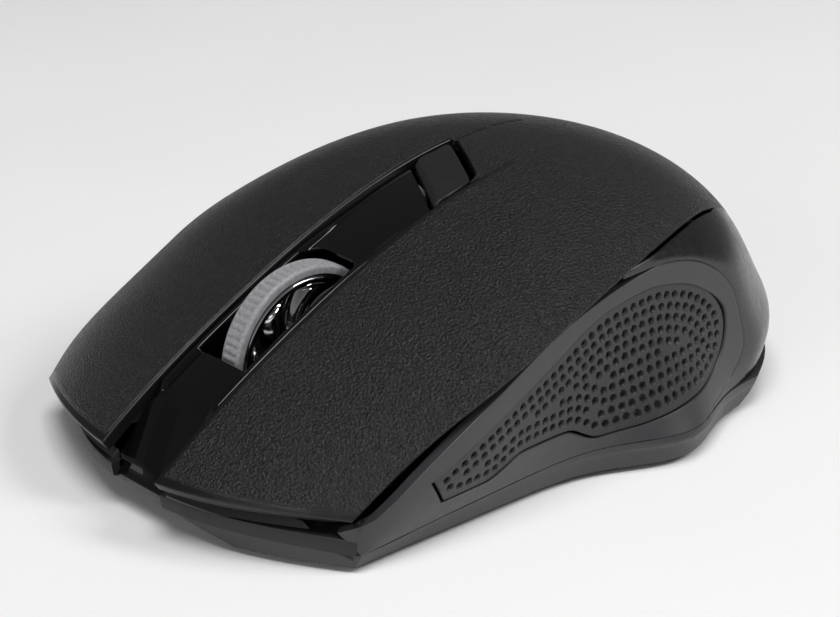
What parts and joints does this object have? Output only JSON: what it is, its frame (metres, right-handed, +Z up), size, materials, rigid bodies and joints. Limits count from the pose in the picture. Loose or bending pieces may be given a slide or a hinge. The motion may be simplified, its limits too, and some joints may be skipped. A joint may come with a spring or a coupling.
{
  "type": "computer mouse",
  "caption": "Wireless computer mouse with grained top shell, two main buttons, ribbed scroll wheel in a glossy centre strip, mode button and dimpled thumb grips.",
  "frame": {"origin": "on the table, under the middle of the body", "axes": "+Z up; +Y from the tail to the buttons; the thumb side of a right-handed user is at -X"},
  "size_m": [0.0734, 0.1073, 0.0369],
  "materials": {
    "grained_shell": "matt, fine leather-like grain",
    "gloss_black": "polished gloss",
    "satin_grey": "satin",
    "grip_rubber": "satin rubber with oval dimples",
    "case_black": "matt moulded",
    "wheel_rubber": "soft, cross-ribbed",
    "wheel_metal": "bright plated",
    "foot_plastic": "slippery, slightly waxy",
    "board_laminate": "lacquered circuit board",
    "component_black": "moulded component bodies",
    "plunger_white": "moulded",
    "battery_jacket": "printed film jacket without print",
    "contact_steel": "plated steel",
    "clear_plastic": "clear moulded plastic"
  },
  "bodies": {
    "case": {"top_shell": "grained_shell", "centre_spine": "gloss_black", "tail_band": "gloss_black", "left_side_panel": "satin_grey", "right_side_panel": "satin_grey", "left_grip": "grip_rubber", "right_grip": "grip_rubber", "bottom_case": "satin_grey", "front_foot": "foot_plastic", "rear_foot": "foot_plastic", "main_board": "board_laminate", "scroll_encoder": "component_black", "left_switch": "component_black", "right_switch": "component_black", "middle_switch": "component_black", "mode_switch": "component_black", "battery": "battery_jacket", "battery_spring": "contact_steel", "battery_tab": "contact_steel", "sensor_lens": "clear_plastic", "sensor_chip": "component_black", "sensor_lamp": "clear_plastic", "controller_chip": "component_black", "crystal": "contact_steel", "capacitor": "contact_steel", "power_switch": "case_black", "case_screws": "contact_steel", "board_screws": "contact_steel"},
    "left_button_body": {"left_button": "grained_shell"},
    "right_button_body": {"right_button": "grained_shell"},
    "mode_button_body": {"mode_button": "gloss_black"},
    "wheel_frame": {"wheel_carrier": "case_black"},
    "wheel": {"wheel_tyre": "wheel_rubber", "wheel_hub": "wheel_metal"},
    "power_knob": {"power_slider": "case_black"},
    "door": {"battery_door": "case_black"},
    "receiver": {"receiver_cap": "case_black", "receiver_plug": "contact_steel"},
    "left_switch_plunger": {"left_plunger": "plunger_white"},
    "right_switch_plunger": {"right_plunger": "plunger_white"}
  },
  "joints": [
    {"name": "left_button_press", "type": "hinge", "parent": "case", "child": "left_button_body", "pos_m": [0, -0.008, 0.034], "axis": [1, 0, 0], "range_deg": [-0.8, 0], "stiffness_Nm_per_rad": 1, "springref_deg": 0.57},
    {"name": "left_plunger_press", "type": "slide", "parent": "case", "child": "left_switch_plunger", "axis": [0, 0, -1], "range_m": [0, 0.00045]},
    {"name": "right_button_press", "type": "hinge", "parent": "case", "child": "right_button_body", "pos_m": [0, -0.008, 0.034], "axis": [1, 0, 0], "range_deg": [-0.8, 0], "stiffness_Nm_per_rad": 1, "springref_deg": 0.57},
    {"name": "right_plunger_press", "type": "slide", "parent": "case", "child": "right_switch_plunger", "axis": [0, 0, -1], "range_m": [0, 0.00045]},
    {"name": "mode_button_press", "type": "slide", "parent": "case", "child": "mode_button_body", "axis": [0, 0, -1], "range_m": [0, 0.0005], "stiffness_N_per_m": 500, "springref_m": -0.0006},
    {"name": "wheel_click", "type": "slide", "parent": "case", "child": "wheel_frame", "axis": [0, 0, -1], "range_m": [0, 0.0005], "stiffness_N_per_m": 1500, "springref_m": -0.0006},
    {"name": "wheel_spin", "type": "hinge", "parent": "wheel_frame", "child": "wheel", "pos_m": [0, 0.0246, 0.0154], "axis": [1, 0, 0], "continuous": true},
    {"name": "power_slide", "type": "slide", "parent": "case", "child": "power_knob", "axis": [0, 1, 0], "range_m": [0, 0.003]},
    {"name": "battery_door_off", "type": "slide", "parent": "case", "child": "door", "axis": [0, 0, -1], "range_m": [0, 0.01]},
    {"name": "receiver_out", "type": "slide", "parent": "case", "child": "receiver", "axis": [0, 0, -1], "range_m": [0, 0.01]}
  ],
  "couplings": [
    {"joint": "left_plunger_press", "follows": "left_button_press", "m_per_rad": -0.03},
    {"joint": "right_plunger_press", "follows": "right_button_press", "m_per_rad": -0.03}
  ]
}
